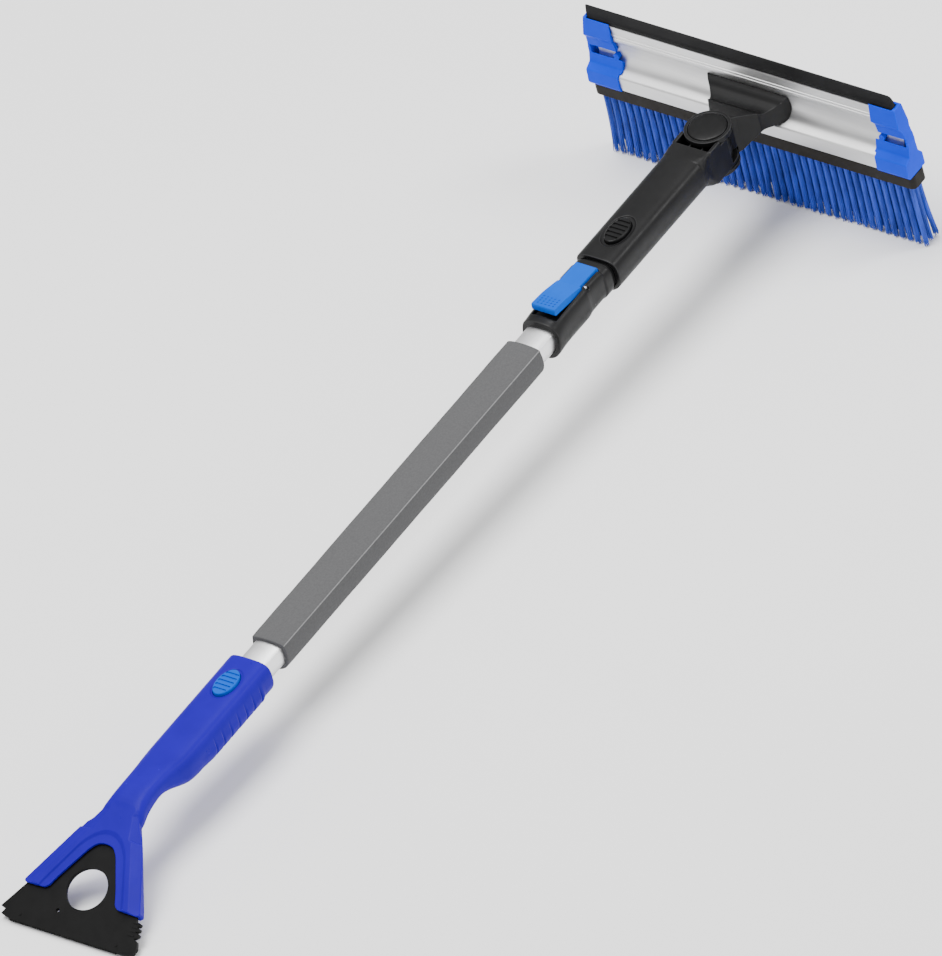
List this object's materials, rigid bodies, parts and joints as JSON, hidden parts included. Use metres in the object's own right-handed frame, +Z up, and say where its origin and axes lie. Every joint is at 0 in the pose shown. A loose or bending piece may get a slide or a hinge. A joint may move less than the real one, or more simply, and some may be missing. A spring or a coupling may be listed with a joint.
{
  "type": "snow brush scraper",
  "caption": "Telescopic snow brush: pivoting head with squeegee and bristles, lever-locked tube, foam grip, and a forked handle with an ice scraper blade.",
  "frame": {"origin": "centre of the tool's footprint, on the ground that its bristle tips and scraper tip rest on", "axes": "+X from the scraper towards the brush head, +Y to the left, +Z up; the pole leans up by 3.6 degrees towards the head"},
  "size_m": [0.8546, 0.2648, 0.1299],
  "materials": {
    "anodised_tube": "satin",
    "extruded_aluminium": "satin",
    "black_plastic": "satin",
    "black_blade_plastic": "satin",
    "bar_plastic": "satin",
    "black_rubber": "matte",
    "grey_foam": "matte",
    "royal_blue_plastic": "satin",
    "azure_plastic": "satin",
    "cap_blue_plastic": "satin",
    "blue_bristle": "satin",
    "zinc_steel": "satin"
  },
  "bodies": {
    "pole": {"outer_tube": "anodised_tube", "outer_tube_plug": "black_plastic", "foam_grip": "grey_foam", "lock_housing": "black_plastic", "lever_pin": "zinc_steel", "lever_spring": "zinc_steel", "handle": "royal_blue_plastic", "handle_button_spring": "zinc_steel", "scraper_blade": "black_blade_plastic", "blade_screw_left": "zinc_steel", "blade_screw_right": "zinc_steel"},
    "lever": {"lock_lever": "azure_plastic"},
    "extension": {"inner_tube": "anodised_tube", "inner_tube_guide": "black_plastic", "sleeve": "black_plastic", "sleeve_button_spring": "zinc_steel"},
    "head": {"head_bracket": "black_plastic", "bracket_screw_1": "zinc_steel", "bracket_screw_2": "zinc_steel", "bracket_screw_3": "zinc_steel", "bracket_screw_4": "zinc_steel", "head_extrusion": "extruded_aluminium", "squeegee_blade": "black_rubber", "end_cap_left": "cap_blue_plastic", "end_cap_right": "cap_blue_plastic", "brush_bar": "bar_plastic", "bristles_front": "blue_bristle", "bristles_middle": "blue_bristle", "bristles_rear": "blue_bristle", "pivot_bolt": "zinc_steel", "pivot_washer": "zinc_steel", "pivot_nut": "zinc_steel", "pivot_spring": "zinc_steel"},
    "pivot_button": {"pivot_button": "black_plastic"},
    "sleeve_button": {"sleeve_button": "black_plastic"},
    "handle_button": {"handle_button": "azure_plastic"}
  },
  "joints": [
    {"name": "telescope_slide", "type": "slide", "parent": "pole", "child": "extension", "axis": [0.9981, 0, 0.0624], "range_m": [0, 0.28]},
    {"name": "head_pivot", "type": "hinge", "parent": "extension", "child": "head", "pos_m": [0.36589, 0, 0.08427], "axis": [-0.0624, 0, 0.9981], "range_deg": [-45, 45]},
    {"name": "lock_lever_press", "type": "hinge", "parent": "pole", "child": "lever", "pos_m": [0.20039, 0, 0.08715], "axis": [0, -1, 0], "range_deg": [0, 10], "stiffness_Nm_per_rad": 1.2, "deforming": ["lever_spring"]},
    {"name": "pivot_button_press", "type": "slide", "parent": "head", "child": "pivot_button", "axis": [0.0624, 0, -0.9981], "range_m": [0, 0.0015], "stiffness_N_per_m": 900, "deforming": ["pivot_spring"]},
    {"name": "sleeve_button_press", "type": "slide", "parent": "extension", "child": "sleeve_button", "axis": [0.0624, 0, -0.9981], "range_m": [0, 0.0086], "stiffness_N_per_m": 600, "deforming": ["sleeve_button_spring"]},
    {"name": "handle_button_press", "type": "slide", "parent": "pole", "child": "handle_button", "axis": [0.0624, 0, -0.9981], "range_m": [0, 0.007], "stiffness_N_per_m": 600, "deforming": ["handle_button_spring"]}
  ]
}
